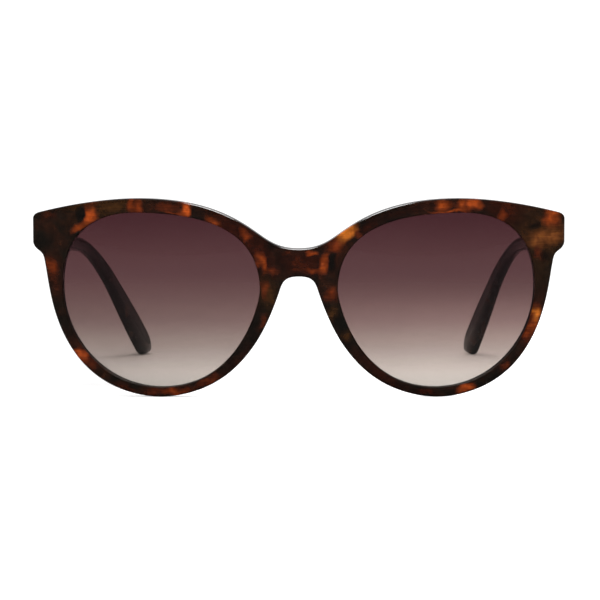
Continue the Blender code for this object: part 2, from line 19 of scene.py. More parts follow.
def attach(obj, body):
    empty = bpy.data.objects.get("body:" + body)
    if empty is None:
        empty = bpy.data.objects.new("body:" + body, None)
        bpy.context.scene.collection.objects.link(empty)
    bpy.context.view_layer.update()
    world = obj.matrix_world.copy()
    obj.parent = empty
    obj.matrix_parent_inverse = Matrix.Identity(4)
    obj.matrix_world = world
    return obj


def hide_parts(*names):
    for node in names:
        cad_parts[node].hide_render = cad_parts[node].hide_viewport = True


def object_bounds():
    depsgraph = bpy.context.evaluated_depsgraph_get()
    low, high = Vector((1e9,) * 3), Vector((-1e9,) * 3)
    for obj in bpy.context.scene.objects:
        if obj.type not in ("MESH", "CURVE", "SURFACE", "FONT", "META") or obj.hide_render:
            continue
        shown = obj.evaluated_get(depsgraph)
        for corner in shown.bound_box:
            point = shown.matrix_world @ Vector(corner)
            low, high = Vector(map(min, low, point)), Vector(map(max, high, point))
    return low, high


MM = 0.001

# The front sheet
FRONT_THICKNESS = 4.0
WRAP_RADIUS = 320.0
FACE_RADIUS = 700.0
FACE_CENTRE_V = 26.0
FRONT_TILT = 3.0
RIM_LIFT = 0.22
EDGE_ROUND = 0.8
EDGE_STEPS = 6
LIP_ROUND = 0.45
LIP_STEPS = 4

# Cuts that let the flat sheet follow the wrap: (across, spacing, from, to)
SLICES = (((1, 0, 0), 2.5, -70, 70), ((0, 1, 0), 6.0, 0, 52))
SLICE_TOLERANCE = 1e-4

# Places closer than this count as level with each other, and tools run past a face by OVERCUT
LEVEL = 0.01
OVERCUT = 1.0

# Lens and groove
LIP_DEPTH = 1.1
GROOVE_DEPTH = 0.7
GROOVE_WIDTH = 1.0
BACK_FLARE = 0.35
LENS_CLEARANCE = 0.08
LENS_THICKNESS = 1.8
LENS_BULGE = 1.2
LENS_CENTRE = (36.5, 25.6)
LENS_RINGS = 16

# Where the right pin sits on the drawn front
PIN_PLACE = (63.4, 13.9, 43.3)

# Hinge
MITRE_Y = -1.9
MITRE_GAP = 0.08
MITRE_ROUND = 0.25
BARREL_RADIUS = 1.5
BARREL_CHAMFER = 0.12
BORE_RADIUS = 0.76
BORE_REACH = 5.0
SCREW_RADIUS = 0.70
SCREW_END_CHAMFER = 0.1
SCREW_SLOT = (4.0, 0.3)
SCREW_SLOT_FLOOR = 0.2
WASHER_RADIUS = 1.4
WASHER_CHAMFER = 0.05
LEAF_THICKNESS = 1.0
LEAF_CORNER = 0.8
LEAF_EDGE = 0.1
WEB_HALF_WIDTH = 1.1
WEB_INSET = 0.02
WEB_STOP = 0.1
POCKET_GAP = 0.05
FRONT_LEAF = (-2.6, 4.2, 3.7)
TEMPLE_LEAF = (-1.2, 7.2, 3.0)
FOOT = (2.0, 9.0, 1.3)
FOOT_DEPTH = 1.5
FRONT_BARRELS = ((-3.25, -2.05), (-0.45, 0.65), (2.05, 3.25))
TEMPLE_BARRELS = ((-1.65, -0.55), (0.75, 1.65))
WASHERS = {"lower": (-1.97, -1.73), "upper": (1.73, 1.97)}
ROUND_SEGMENTS = 56

# The domed screw head: (radius, height over its seat)
SCREW_HEAD = (
    (1.09, 0.0),
    (1.15, 0.06),
    (1.15, 0.25),
    (1.0695, 0.37),
    (0.8625, 0.45),
    (0.46, 0.5),
    (0.0, 0.5),
)

# End-piece lug behind the front
LUG_LOW = (-3.4, -7.2, -4.2)
LUG_TOP_Z = 3.9
LUG_BEVEL = 0.9

# Temple: its thickness and height at the hinge, at the waist and at the ear end
TEMPLE_INNER_X = 1.9
TEMPLE_THICKNESS = 4.0
WAIST_THICKNESS = 2.95
TIP_THICKNESS = 3.6
TEMPLE_FRONT_HEIGHT = 8.4
TEMPLE_WAIST_HEIGHT = 4.0
TIP_HEIGHT = 8.8

# Path of the temple, and how it bends inwards: (travel, power) by side
ELBOW_Y = 97.0
ELBOW_Z = -0.2
ELBOW_RADIUS = 44.0
TIP_DROP = 42.0
TIP_LENGTH = 44.23
THICKNESS_WAIST = ELBOW_Y + 7.0
HEIGHT_WAIST = ELBOW_Y - 8.0
FLARE_MARGIN = 8.0
BEND_END_Y = 110.0
TEMPLE_BEND = {"right": (9.7, 3.6), "left": (12.5, 3.9)}

# Its section, and its rounded end
TEMPLE_EDGE_ROUND = 1.2
TIP_EDGE_ROUND = 1.45
RELIEF_LENGTH = 30.0
RELIEF_CORNER = (2.6, 4.4)
CORNER_STEPS = 7
TEMPLE_STATIONS = 110
MITRE_STEPS = 3
TIP_STEPS = 17
TIP_STEP_ANGLE = 5.0
TIP_THINNING = 0.35
TIP_THINNING_ANGLE = 84.0
TIP_CORNER_SHARES = (0.8, 0.97)

# Core wire inside each temple
WIRE_THICKNESS = 1.2
WIRE_HEIGHTS = (2.2, 1.4)
WIRE_START = 11.0
WIRE_TIP_MARGIN = 9.0
WIRE_CORNER = 0.25
WIRE_CORNER_STEPS = 3
WIRE_STATIONS = 60
CHANNEL_LEAD = 1.5
CHANNEL_END_GAP = 0.1

# Nose pads: the wall and the dome share the depth
PAD_LOWER = (10.7, 17.4)
PAD_UPPER = (7.1, 28.6)
PAD_LENGTH = 14.6
PAD_WIDTH = 2.9
PAD_DEPTH = 4.2
PAD_SPLAY = 0.5
PAD_GAP = 0.05
PAD_WALL = 0.42
PAD_DOME = 0.58
PAD_DOME_POWER = 0.75
PAD_DOME_STEPS = 10
PAD_POINTS = 64

# Right half of the outline, clockwise from the top of the bridge to the nose arch:
# (u, v, heading, handle in, handle out)
HALF_OUTLINE = (
    (0.0, 39.35, 0.0, 0.0, 6.8),
    (14.3, 45.7, 31.2, 6.3, 5.7),
    (41.2, 52.3, 0.0, 14.2, 8.6),
    (68.4, 48.33, -15.2, 8.9, 0.9),
    (70.0, 46.6, -90.0, 0.9, 2.0),
    (70.0, 40.6, -90.0, 2.0, 0.9),
    (68.8, 38.5, -145.0, 0.5, 1.2),
    (67.16, 36.5, -104.3, 0.9, 5.0),
    (57.6, 9.4, -130.2, 12.6, 10.2),
    (36.7, 0.0, 180.0, 4.9, 5.2),
    (15.2, 9.5, 132.3, 10.4, 5.4),
    (5.4, 27.2, 109.2, 9.6, 3.1),
    (0.0, 32.07, 180.0, 4.3, 0.0),
)
HALF_OUTLINE_STEPS = (14, 22, 22, 8, 4, 8, 7, 28, 26, 26, 24, 16)

# Edge of the right lens opening, clockwise from its top
LENS_OPENING = (
    (42.1, 48.6, 0.0, 17.7, 11.9),
    (62.1, 29.0, -90.0, 13.8, 14.7),
    (36.4, 2.6, 180.0, 14.1, 21.5),
    (10.2, 28.4, 90.0, 2.3, 15.9),
)
LENS_STEPS = (44, 44, 44, 44)

# What the tinted lens lets through, from the bottom of the rims up: (height, colour)
LENS_TINT = (
    (3.0, (0.440, 0.399, 0.364)),
    (6.5, (0.420, 0.366, 0.331)),
    (9.7, (0.339, 0.284, 0.256)),
    (13.5, (0.254, 0.197, 0.177)),
    (20.2, (0.162, 0.102, 0.095)),
    (28.7, (0.116, 0.059, 0.059)),
    (32.4, (0.096, 0.044, 0.047)),
    (37.1, (0.087, 0.037, 0.040)),
    (47.0, (0.055, 0.018, 0.022)),
)
LENS_HAZE = 0.002
LENS_MIRROR = 0.04
LENS_WAVER = 1.5

# Edges that turn by more than this stay sharp in the shading
SHARP_ANGLE = 32.0

# Acetate and its colours
ACETATE_IOR = 1.48
PALETTE = {
    "gold": (0.54, 0.140, 0.014),
    "amber": (0.44, 0.068, 0.008),
    "orange": (0.31, 0.050, 0.006),
    "rust": (0.19, 0.029, 0.004),
    "russet": (0.092, 0.016, 0.004),
    "plum": (0.036, 0.006, 0.002),
    "olive": (0.17, 0.050, 0.010),
    "moss": (0.056, 0.021, 0.005),
    "brown": (0.20, 0.058, 0.011),
    "ink": (0.005, 0.0035, 0.0025),
}

# How much of a patch's colour is left where it sinks into the dark stock, and how soft its edge is
FRINGE = (0.36, 0.36, 0.42)
PATCH_BLUR = 1.2

# Where the sheet stock shows colour: (colour, u, v, half width, half height, turn, edge, strength)
PATCHES = (
    ("plum", -18.0, 44.8, 6.0, 2.0, -33, 1.0, 1.0),
    ("plum", -10.5, 38.0, 2.5, 5.0, 20, 1.0, 0.9),
    ("russet", -35.0, 50.2, 6.0, 1.5, -4, 1.0, 0.4),
    ("moss", -51.0, 49.0, 8.0, 2.5, 14, 1.0, 0.5),
    ("russet", -64.5, 32.5, 2.2, 5.0, 12, 1.0, 0.45),
    ("moss", -7.5, 27.0, 2.5, 5.0, 18, 1.0, 0.6),
    ("plum", 2.0, 35.5, 6.0, 2.6, 0, 1.0, 0.9),
    ("russet", 10.0, 40.5, 3.0, 4.0, 38, 1.0, 0.5),
    ("plum", 26.0, 48.5, 7.0, 1.3, 15, 1.0, 0.5),
    ("russet", 41.5, 50.3, 7.0, 1.6, 0, 1.0, 0.5),
    ("plum", 54.0, 48.5, 4.0, 2.5, -20, 1.0, 0.9),
    ("moss", 64.0, 42.5, 6.0, 5.0, 0, 1.0, 0.7),
    ("moss", 63.3, 34.0, 2.5, 5.0, 8, 1.0, 0.4),
    ("russet", 61.6, 19.5, 1.8, 6.5, -16, 1.0, 0.6),
    ("russet", -57.0, 11.0, 4.5, 2.6, -45, 1.0, 0.5),
    ("russet", -34.0, 1.8, 8.0, 1.2, 3, 1.0, 0.5),
    ("plum", 21.0, 7.0, 8.0, 1.6, -38, 1.0, 0.7),
    ("plum", -15.0, 10.5, 6.0, 1.6, 48, 1.0, 0.5),
    ("russet", -65.7, 47.2, 1.6, 0.8, 15, 1.0, 0.5),
    ("amber", -54.6, 47.8, 1.6, 2.0, 0, 0.75, 0.95),
    ("russet", -54.4, 50.6, 2.0, 0.8, 5, 0.9, 0.7),
    ("ink", -57.3, 48.2, 1.2, 2.4, 0, 0.3, 0.9),
    ("orange", -57.5, 44.8, 1.7, 0.6, 25, 0.9, 0.8),
    ("moss", -58.5, 50.0, 3.0, 0.7, 14, 0.9, 0.6),
    ("moss", -49.0, 50.0, 3.8, 1.4, 5, 0.9, 1.0),
    ("rust", -43.7, 50.8, 0.8, 1.7, 3, 0.9, 0.85),
    ("rust", -42.0, 50.0, 0.8, 1.7, -3, 0.9, 0.95),
    ("russet", -34.2, 50.3, 2.5, 0.9, -4, 0.9, 0.95),
    ("rust", -32.8, 48.9, 2.7, 0.3, -8, 0.8, 0.7),
    ("amber", -29.6, 49.3, 1.2, 1.7, 0, 0.5, 1.0),
    ("rust", -29.6, 51.2, 1.4, 0.7, -10, 0.8, 0.8),
    ("orange", -22.4, 46.3, 1.5, 0.9, -28, 0.95, 0.8),
    ("plum", -17.8, 45.2, 2.2, 1.1, -35, 0.9, 0.9),
    ("rust", -13.9, 42.9, 0.9, 1.6, 18, 0.9, 0.95),
    ("plum", -12.8, 40.3, 1.0, 1.3, 0, 0.8, 0.9),
    ("orange", -9.4, 35.8, 0.9, 1.9, 12, 0.9, 0.85),
    ("rust", -11.0, 35.2, 0.8, 0.6, 30, 0.9, 0.75),
    ("plum", -8.0, 36.0, 0.35, 2.2, 10, 0.8, 0.8),
    ("russet", -6.7, 33.8, 1.1, 1.3, 35, 0.9, 1.0),
    ("rust", -8.8, 28.6, 0.8, 1.8, 15, 0.9, 0.7),
    ("moss", -7.0, 26.4, 0.9, 2.6, 20, 0.9, 0.8),
    ("rust", -3.4, 38.1, 0.8, 0.5, 0, 0.9, 0.35),
    ("russet", -0.3, 36.3, 1.4, 1.4, 0, 0.9, 0.65),
    ("russet", -0.6, 33.8, 1.4, 0.6, 0, 0.9, 0.65),
    ("rust", -64.9, 34.2, 1.2, 1.9, 12, 0.95, 0.95),
    ("russet", -63.8, 29.6, 0.9, 3.0, 10, 0.9, 0.3),
    ("amber", -57.4, 10.9, 1.5, 0.9, -42, 0.8, 1.0),
    ("russet", -55.2, 8.9, 1.8, 0.9, -42, 0.9, 0.8),
    ("russet", -46.0, 2.6, 2.2, 0.7, -20, 0.9, 0.55),
    ("russet", -37.8, 1.3, 2.2, 0.7, -3, 0.8, 0.75),
    ("rust", -32.3, 1.5, 2.8, 0.7, 6, 0.8, 0.95),
    ("russet", -23.6, 4.4, 3.1, 1.0, 24, 0.8, 1.0),
    ("rust", -9.7, 20.3, 0.7, 1.5, -28, 0.9, 0.45),
    ("amber", 3.3, 38.2, 0.9, 0.5, -5, 0.8, 0.8),
    ("rust", 4.0, 33.6, 1.9, 0.6, -8, 0.8, 0.75),
    ("orange", 6.4, 35.4, 0.8, 2.2, -8, 0.85, 0.9),
    ("ink", 8.6, 36.2, 0.9, 2.6, -10, 0.6, 0.9),
    ("rust", 10.0, 40.6, 2.2, 1.1, 40, 0.8, 0.95),
    ("gold", 12.5, 43.5, 2.6, 1.6, 40, 0.6, 1.0),
    ("russet", 15.6, 43.4, 0.8, 1.4, 20, 0.7, 0.9),
    ("ink", 16.7, 44.9, 1.2, 1.6, 28, 0.5, 0.7),
    ("plum", 18.0, 45.0, 2.2, 0.9, 28, 0.9, 0.8),
    ("orange", 37.6, 50.9, 1.6, 1.2, 0, 0.8, 1.0),
    ("orange", 39.2, 49.05, 3.6, 0.3, 0, 0.9, 0.9),
    ("orange", 42.4, 50.4, 1.1, 1.1, 0, 0.8, 0.9),
    ("amber", 45.5, 50.8, 1.7, 1.2, 0, 0.75, 0.95),
    ("rust", 53.2, 47.5, 1.1, 1.1, -30, 0.9, 0.75),
    ("russet", 55.2, 49.9, 1.6, 0.8, -10, 0.9, 0.5),
    ("amber", 66.3, 47.0, 1.6, 2.0, 0, 0.85, 0.8),
    ("olive", 64.8, 41.7, 4.2, 1.9, 10, 0.75, 1.0),
    ("brown", 66.7, 42.6, 1.4, 0.5, 5, 0.8, 0.9),
    ("brown", 61.7, 40.7, 0.9, 1.2, -25, 0.8, 0.8),
    ("russet", 62.8, 38.0, 1.1, 1.6, 0, 0.8, 0.9),
    ("ink", 64.6, 37.1, 0.9, 0.9, 0, 0.8, 0.6),
    ("ink", 61.6, 44.8, 1.6, 0.9, 10, 0.8, 0.8),
    ("rust", 8.5, 27.6, 1.1, 1.6, -10, 0.9, 0.75),
    ("moss", 9.0, 22.5, 1.1, 1.7, -25, 0.9, 0.9),
    ("moss", 12.5, 16.6, 1.2, 1.4, -30, 0.9, 0.9),
    ("orange", 61.6, 19.4, 1.1, 3.2, -14, 0.9, 0.75),
    ("gold", 62.2, 21.4, 0.8, 1.2, -12, 0.9, 1.0),
    ("rust", 59.9, 16.0, 1.0, 1.6, -28, 0.9, 0.8),
    ("russet", 54.4, 8.2, 1.3, 0.8, 38, 0.9, 0.95),
    ("amber", 43.8, 2.3, 1.7, 0.9, 14, 0.8, 1.0),
    ("plum", 33.4, 1.5, 2.2, 0.7, -5, 0.8, 1.0),
)

# Camera
CAMERA_BEHIND = 898.1
CAMERA_HEIGHT = 86.4
CAMERA_PITCH = 3.867
CAMERA_LENS = 207.1
CAMERA_SHIFT = (0.002, 0.0008)

# Backdrop to the camera, and the room that everything else sees
BACKDROP = 1.2
ROOM_FRONT = 0.03
ROOM_BEHIND = 0.6
ROOM_ABOVE = 0.08

# Floor: where it runs out into the backdrop, where it is dim in reflections (painted shade),
# and its painted glow, which only the camera sees, from left to right and from the front to the
# back, as (from, to, level, level)
FLOOR_SIZE = 6000.0
FLOOR_GAP = 0.02
FLOOR_FADE = (180.0, 420.0)
FLOOR_PAINTED_SHADE = (-10.0, 50.0)
FLOOR_PAINTED_SHADE_COLOUR = (0.06, 0.06, 0.06)
PAINTED_GLOW_ACROSS = (-100.0, 100.0, 0.05, 0.65)
PAINTED_GLOW_BACK = (-60.0, -30.0, 0.35, 0.0)

# (name, place, aimed at, size, watts, what it does)
LIGHTS = (
    ("top", (0, 100, 1500), (0, 0, 0), 1800, 26.0, "lights"),
    ("front_high", (0, -1700, 1500), (0, 0, 0), 1500, 24.0, "lights"),
    ("front_left", (-1500, -1600, 600), (0, 0, 0), 900, 5.0, "lights"),
    ("front_right", (1500, -1600, 600), (0, 0, 0), 900, 5.0, "lights"),
    ("card", (0, -60, 130), (0, -40, 45), 50, 0.12, "reflects"),
)


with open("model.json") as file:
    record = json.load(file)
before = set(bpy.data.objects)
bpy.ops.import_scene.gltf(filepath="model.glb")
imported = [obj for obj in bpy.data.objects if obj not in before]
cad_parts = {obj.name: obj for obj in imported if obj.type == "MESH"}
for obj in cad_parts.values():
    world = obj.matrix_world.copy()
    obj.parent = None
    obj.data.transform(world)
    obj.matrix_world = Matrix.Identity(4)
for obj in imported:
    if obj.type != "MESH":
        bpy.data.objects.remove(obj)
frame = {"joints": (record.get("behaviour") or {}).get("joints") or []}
cad_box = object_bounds()


def pin_frames():
    """The frame of each hinge in millimetres, by side: +1 right, -1 left."""
    found = {}
    for joint in frame["joints"]:
        place = Vector(joint["pos_m"]) / MM
        lean = math.atan2(abs(joint["axis"][1]), abs(joint["axis"][2]))
        side = 1 if place.x > 0 else -1
        found[side] = Matrix.Translation(place) @ Matrix.Rotation(-lean, 4, "X")
    return found


PINS = pin_frames()
SHEET_PLACE = PINS[1].translation - Vector(PIN_PLACE)


# ---- drawing ----


def polar(angle):
    return Vector((math.cos(math.radians(angle)), math.sin(math.radians(angle))))


def curve_points(knots, steps, closed):
    """Points along cubic Bezier spans between the knots; an open curve keeps its last point."""
    points = []
    for i, count in enumerate(steps):
        a = knots[i]
        b = knots[(i + 1) % len(knots)]
        start = Vector(a[:2])
        end = Vector(b[:2])
        span = interpolate_bezier(
            start, start + polar(a[2]) * a[4], end - polar(b[2]) * b[3], end, count + 1
        )
        points.extend(Vector((p[0], p[1])) for p in span[:-1])
    if not closed:
        points.append(Vector(knots[-1][:2]))
    return points


def outline_points():
    half = curve_points(HALF_OUTLINE, HALF_OUTLINE_STEPS, False)
    return half + [Vector((-p.x, p.y)) for p in reversed(half[1:-1])]


def opening_points(side):
    points = curve_points(LENS_OPENING, LENS_STEPS, True)
    if side > 0:
        return points
    return [Vector((-p.x, p.y)) for p in reversed(points)]


def grown(points, distance):
    """A clockwise closed outline moved outwards by a distance."""
    moved = []
    for i, point in enumerate(points):
        along = (points[(i + 1) % len(points)] - points[i - 1]).normalized()
        moved.append(point + Vector((-along.y, along.x)) * distance)
    return moved


def bend(u, v, w):
    """The place in the row frame of a point of the flat sheet."""
    depth = u * u / (2 * WRAP_RADIUS) + (v - FACE_CENTRE_V) ** 2 / (2 * FACE_RADIUS)
    slope = Vector((-u / WRAP_RADIUS, 1.0, -(v - FACE_CENTRE_V) / FACE_RADIUS)).normalized()
    tilt = Matrix.Rotation(math.radians(FRONT_TILT), 3, "X")
    return tilt @ (Vector((u, depth, v)) + slope * w) - Vector((0, 0, RIM_LIFT)) + SHEET_PLACE


def bend_all(bm):
    for vert in bm.verts:
        vert.co = bend(*vert.co)


def loop_of(bm, points, w):
    return [bm.verts.new((p.x, p.y, w)) for p in points]


def wall(bm, first, second):
    for i in range(len(first)):
        j = (i + 1) % len(first)
        bm.faces.new((first[i], first[j], second[j], second[i]))


def walls(bm, loops):
    for first, second in zip(loops, loops[1:]):
        wall(bm, first, second)


def cap(bm, loops):
    """Fills a flat face whose first loop is its outer edge and whose others are holes."""
    edges = []
    for loop in loops:
        edges.extend(bm.edges.get((v, loop[(i + 1) % len(loop)])) for i, v in enumerate(loop))
    bmesh.ops.triangle_fill(bm, edges=edges, use_beauty=True)


def arc_profile(radius, thickness, steps):
    """(inset, w) pairs round the front and back edges of a plate."""
    front = []
    for i in range(steps + 1):
        angle = math.radians(90.0 * i / steps)
        front.append((radius * (1 - math.sin(angle)), radius * (1 - math.cos(angle))))
    return front + [(inset, thickness - w) for inset, w in reversed(front)]


def slice_up(bm):
    """Cuts the flat sheet into strips, so that it can follow the wrap."""
    for across, spacing, low, high in SLICES:
        normal = Vector(across)
        for i in range(math.ceil(low / spacing), math.floor(high / spacing) + 1):
            bmesh.ops.bisect_plane(
                bm,
                geom=bm.verts[:] + bm.edges[:] + bm.faces[:],
                dist=SLICE_TOLERANCE,
                plane_co=normal * spacing * i,
                plane_no=normal,
            )


def block(bm, low, high):
    made = bmesh.ops.create_cube(bm, size=1.0)["verts"]
    bmesh.ops.scale(bm, vec=Vector(high) - Vector(low), verts=made)
    bmesh.ops.translate(bm, vec=(Vector(low) + Vector(high)) / 2, verts=made)
    return made


def rounded(bm, offset, segments, chosen):
    """Rounds the edges whose two ends are chosen."""
    edges = [e for e in bm.edges if chosen(e.verts[0].co, e.verts[1].co)]
    bmesh.ops.bevel(
        bm, geom=edges, offset=offset, segments=segments, profile=0.5, affect="EDGES"
    )


def turned(bm, profile):
    """A profile turned about Z; one that starts and ends on the axis is closed there."""
    angles = [2 * math.pi * i / ROUND_SEGMENTS for i in range(ROUND_SEGMENTS)]
    rings = []
    for radius, z in profile:
        if radius == 0.0:
            places = [(0, 0, z)]
        else:
            places = [(radius * math.cos(a), radius * math.sin(a), z) for a in angles]
        rings.append([bm.verts.new(place) for place in places])
    for first, second in zip(rings, rings[1:]):
        for i in range(ROUND_SEGMENTS):
            j = (i + 1) % ROUND_SEGMENTS
            if len(first) == 1:
                bm.faces.new((first[0], second[j], second[i]))
            elif len(second) == 1:
                bm.faces.new((first[i], first[j], second[0]))
            else:
                bm.faces.new((first[i], first[j], second[j], second[i]))
    return rings


def solid(name, bm, side=1, at_pin=False):
    """A mesh object in metres from a bmesh in millimetres, mirrored and set on its pin if asked."""
    if side < 0 and at_pin:
        bmesh.ops.scale(bm, vec=(-1, 1, 1), verts=bm.verts)
    if at_pin:
        bmesh.ops.transform(bm, matrix=PINS[side], verts=bm.verts)
    bmesh.ops.recalc_face_normals(bm, faces=bm.faces)
    bmesh.ops.scale(bm, vec=(MM, MM, MM), verts=bm.verts)
    mesh = bpy.data.meshes.new(name)
    bm.to_mesh(mesh)
    bm.free()
    made = bpy.data.objects.new(name, mesh)
    bpy.context.scene.collection.objects.link(made)
    return made


def drawn(name, side, draw):
    bm = bmesh.new()
    draw(bm)
    return solid(name, bm, side, True)


def carved(obj, tools):
    """Joins or cuts the tools, given as (operation, object), into obj for good."""
    for operation, tool in tools:
        modifier = obj.modifiers.new(operation, "BOOLEAN")
        modifier.operation = operation
        modifier.solver = "EXACT"
        modifier.object = tool
    graph = bpy.context.evaluated_depsgraph_get()
    shaped = bpy.data.meshes.new_from_object(obj.evaluated_get(graph), depsgraph=graph)
    obj.modifiers.clear()
    obj.data = shaped
    for _, tool in tools:
        bpy.data.objects.remove(tool)
    return obj


def show(obj, node, body, look):
    """Gives a finished piece its shading, its material and its place in the frame."""
    obj.data.materials.clear()
    obj.data.materials.append(look)
    obj.data.shade_smooth()
    obj.data.set_sharp_from_angle(angle=math.radians(SHARP_ANGLE))
    normals = obj.modifiers.new("weighted_normals", "WEIGHTED_NORMAL")
    normals.keep_sharp = True
    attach(obj, body)
    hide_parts(node)


# ---- front ----


def front_sheet():
    """The acetate sheet with its outline, its two openings and the groove round each."""
    bm = bmesh.new()
    outline = outline_points()
    outer = [
        loop_of(bm, grown(outline, -inset), w)
        for inset, w in arc_profile(EDGE_ROUND, FRONT_THICKNESS, EDGE_STEPS)
    ]
    walls(bm, outer)
    lip = arc_profile(LIP_ROUND, FRONT_THICKNESS, LIP_STEPS)
    half = len(lip) // 2
    groove = [
        (0.0, LIP_DEPTH),
        (GROOVE_DEPTH, LIP_DEPTH + GROOVE_WIDTH / 2),
        (0.0, LIP_DEPTH + GROOVE_WIDTH),
    ]
    flared = [(out + BACK_FLARE, w) for out, w in lip[half:]]
    profile = lip[:half] + groove + flared
    fronts = [outer[0]]
    backs = [outer[-1]]
    for side in (1, -1):
        opening = opening_points(side)
        loops = [loop_of(bm, grown(opening, out), w) for out, w in profile]
        walls(bm, loops)
        fronts.append(loops[0])
        backs.append(loops[-1])
    cap(bm, fronts)
    cap(bm, backs)
    slice_up(bm)
    bend_all(bm)
    return solid("front_acetate", bm)


def lug(bm):
    """The end-piece block that carries the hinge, cut square to the temple at the mitre."""
    block(bm, LUG_LOW, (TEMPLE_INNER_X + TEMPLE_THICKNESS, MITRE_Y, LUG_TOP_Z))
    rounded(bm, LUG_BEVEL, 6, lambda a, b: abs(a.y - b.y) > LEVEL)
    rounded(bm, MITRE_ROUND, 3, lambda a, b: min(a.y, b.y) > MITRE_Y - LEVEL)


def leaf_pocket(bm):
    inner, outer, half_height = FRONT_LEAF
    gap = POCKET_GAP
    low = (inner - gap, MITRE_Y - LEAF_THICKNESS - gap, -half_height - gap)
    block(bm, low, (outer + gap, MITRE_Y + OVERCUT, half_height + gap))


def front():
    """The front: the sheet with a lug at each end and a pocket for the leaf in each lug."""
    tools = []
    for side in (1, -1):
        tools.append(("UNION", drawn("lug", side, lug)))
        tools.append(("DIFFERENCE", drawn("pocket", side, leaf_pocket)))
    return carved(front_sheet(), tools)


def lens(name, side):
    """A gently domed lens whose ridged edge sits in the rim's groove."""
    bm = bmesh.new()
    opening = opening_points(side)
    centre = Vector((side * LENS_CENTRE[0], LENS_CENTRE[1]))
    ridge_w = LIP_DEPTH + GROOVE_WIDTH / 2
    half = LENS_THICKNESS / 2
    profile = [
        (-LENS_CLEARANCE, ridge_w - half),
        (-LENS_CLEARANCE, ridge_w - GROOVE_WIDTH / 2),
        (GROOVE_DEPTH - 2 * LENS_CLEARANCE, ridge_w),
        (-LENS_CLEARANCE, ridge_w + GROOVE_WIDTH / 2),
        (-LENS_CLEARANCE, ridge_w + half),
    ]
    rims = [loop_of(bm, grown(opening, out), w) for out, w in profile]
    walls(bm, rims)
    for rim in (rims[0], rims[-1]):
        rings = [rim]
        for i in range(LENS_RINGS - 1, 0, -1):
            share = i / LENS_RINGS
            lift = LENS_BULGE * (1 - share * share)
            places = [centre + (Vector(v.co[:2]) - centre) * share for v in rim]
            rings.append(loop_of(bm, places, rim[0].co.z - lift))
        walls(bm, rings)
        pole = bm.verts.new((centre.x, centre.y, rim[0].co.z - LENS_BULGE))
        for i, vert in enumerate(rings[-1]):
            bm.faces.new((vert, rings[-1][(i + 1) % len(rim)], pole))
    bend_all(bm)
    return solid(name, bm)


def nose_pad(name, side):
    """An almond-shaped pad on the back of the rim, crowned and splayed away from the nose."""
    bm = bmesh.new()
    centre = (Vector(PAD_LOWER) + Vector(PAD_UPPER)) / 2
    along = (Vector(PAD_UPPER) - Vector(PAD_LOWER)).normalized()
    across = Vector((along.y, -along.x))
    crown = [(0.0, 1.0)]
    for i in range(PAD_DOME_STEPS):
        angle = math.radians(90.0 * i / PAD_DOME_STEPS)
        depth = PAD_WALL + PAD_DOME * math.sin(angle)
        crown.append((depth, math.cos(angle) ** PAD_DOME_POWER))
    rings = []
    for depth, share in crown:
        places = []
        for i in range(PAD_POINTS):
            angle = 2 * math.pi * i / PAD_POINTS
            place = centre + along * (PAD_LENGTH / 2 * share * math.cos(angle))
            place = place + across * (PAD_WIDTH / 2 * share * math.sin(angle))
            places.append(Vector((side * (place.x + PAD_SPLAY * depth), place.y)))
        rings.append(loop_of(bm, places, FRONT_THICKNESS + PAD_GAP + PAD_DEPTH * depth))
    walls(bm, rings)
    bm.faces.new(rings[0])
    bm.faces.new(rings[-1])
    bend_all(bm)
    return solid(name, bm)


# ---- hinges ----


def barrel(bm, low, high):
    cut = BARREL_CHAMFER
    profile = [
        (0.0, low),
        (BARREL_RADIUS - cut, low),
        (BARREL_RADIUS, low + cut),
        (BARREL_RADIUS, high - cut),
        (BARREL_RADIUS - cut, high),
        (0.0, high),
    ]
    turned(bm, profile)


def knuckles(spans, web, side):
    """The drums on the pin, the webs that carry them, and the bore, as carving tools."""
    (near_x, near_y), (far_x, far_y) = web
    tools = []
    for low, high in spans:
        tools.append(("UNION", drawn("drum", side, lambda bm: barrel(bm, low, high))))
        near = (near_x, near_y, low + WEB_INSET)
        far = (far_x, far_y, high - WEB_INSET)
        tools.append(("UNION", drawn("web", side, lambda bm: block(bm, near, far))))
    bore = [
        (0.0, -BORE_REACH),
        (BORE_RADIUS, -BORE_REACH),
        (BORE_RADIUS, BORE_REACH),
        (0.0, BORE_REACH),
    ]
    tools.append(("DIFFERENCE", drawn("bore", side, lambda bm: turned(bm, bore))))
    return tools


def leaf(bm, low, high, axis):
    """A thin plate with rounded corners and broken edges; axis is across its thickness."""
    block(bm, low, high)
    rounded(bm, LEAF_CORNER, 6, lambda a, b: abs(a[axis] - b[axis]) > LEVEL)
    rounded(bm, LEAF_EDGE, 2, lambda a, b: abs(a[axis] - b[axis]) < LEVEL)


def front_hinge(name, side):
    """The leaf in the lug, with its three barrels."""
    inner, outer, half_height = FRONT_LEAF
    low = (inner, MITRE_Y - LEAF_THICKNESS, -half_height)
    high = (outer, MITRE_Y, half_height)
    plate = drawn(name, side, lambda bm: leaf(bm, low, high, 1))
    web = ((-WEB_HALF_WIDTH, MITRE_Y - LEAF_THICKNESS / 2), (WEB_HALF_WIDTH, -WEB_STOP))
    return carved(plate, knuckles(FRONT_BARRELS, web, side))


